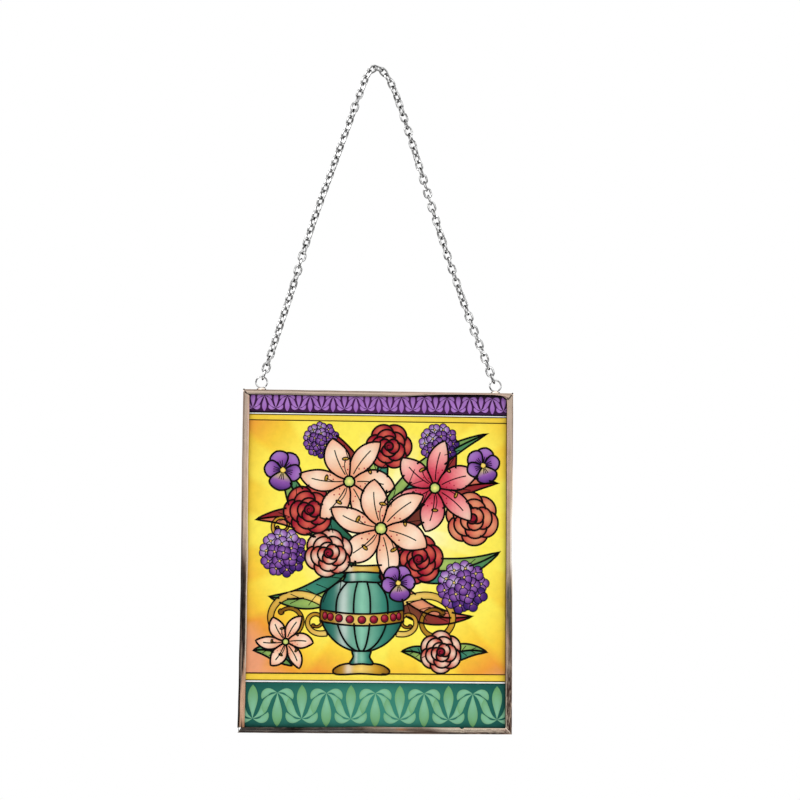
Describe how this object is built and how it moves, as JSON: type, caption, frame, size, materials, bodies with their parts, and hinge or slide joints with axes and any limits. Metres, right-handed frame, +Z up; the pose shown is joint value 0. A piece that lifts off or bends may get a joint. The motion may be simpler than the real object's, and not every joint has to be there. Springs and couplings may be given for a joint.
{
  "type": "painted glass suncatcher",
  "caption": "Upright rectangular pane of painted glass in a slim soldered channel frame, hung on an oval-link chain from rings on its top edge.",
  "frame": {"origin": "the hanging point, on the underside of the chain's top link, where a hook or nail carries the chain", "axes": "+Z up along the hung panel, -Y out of the painted face, +X to the right of someone looking at the painting"},
  "size_m": [0.152, 0.0048, 0.3781],
  "materials": {
    "painted_glass": "glossy, painted on the front in translucent enamel colours with raised black outlines",
    "came_metal": "warm rose-grey tinned channel, satin to polished, darker where it is handled",
    "nickel_plate": "bright nickel plate"
  },
  "bodies": {
    "root": {"glass_pane": "painted_glass", "top_came": "came_metal", "right_came": "came_metal", "bottom_came": "came_metal", "left_came": "came_metal", "left_hanging_ring": "nickel_plate", "right_hanging_ring": "nickel_plate", "left_chain_strand": "nickel_plate", "right_chain_strand": "nickel_plate", "top_chain_link": "nickel_plate"}
  },
  "joints": []
}
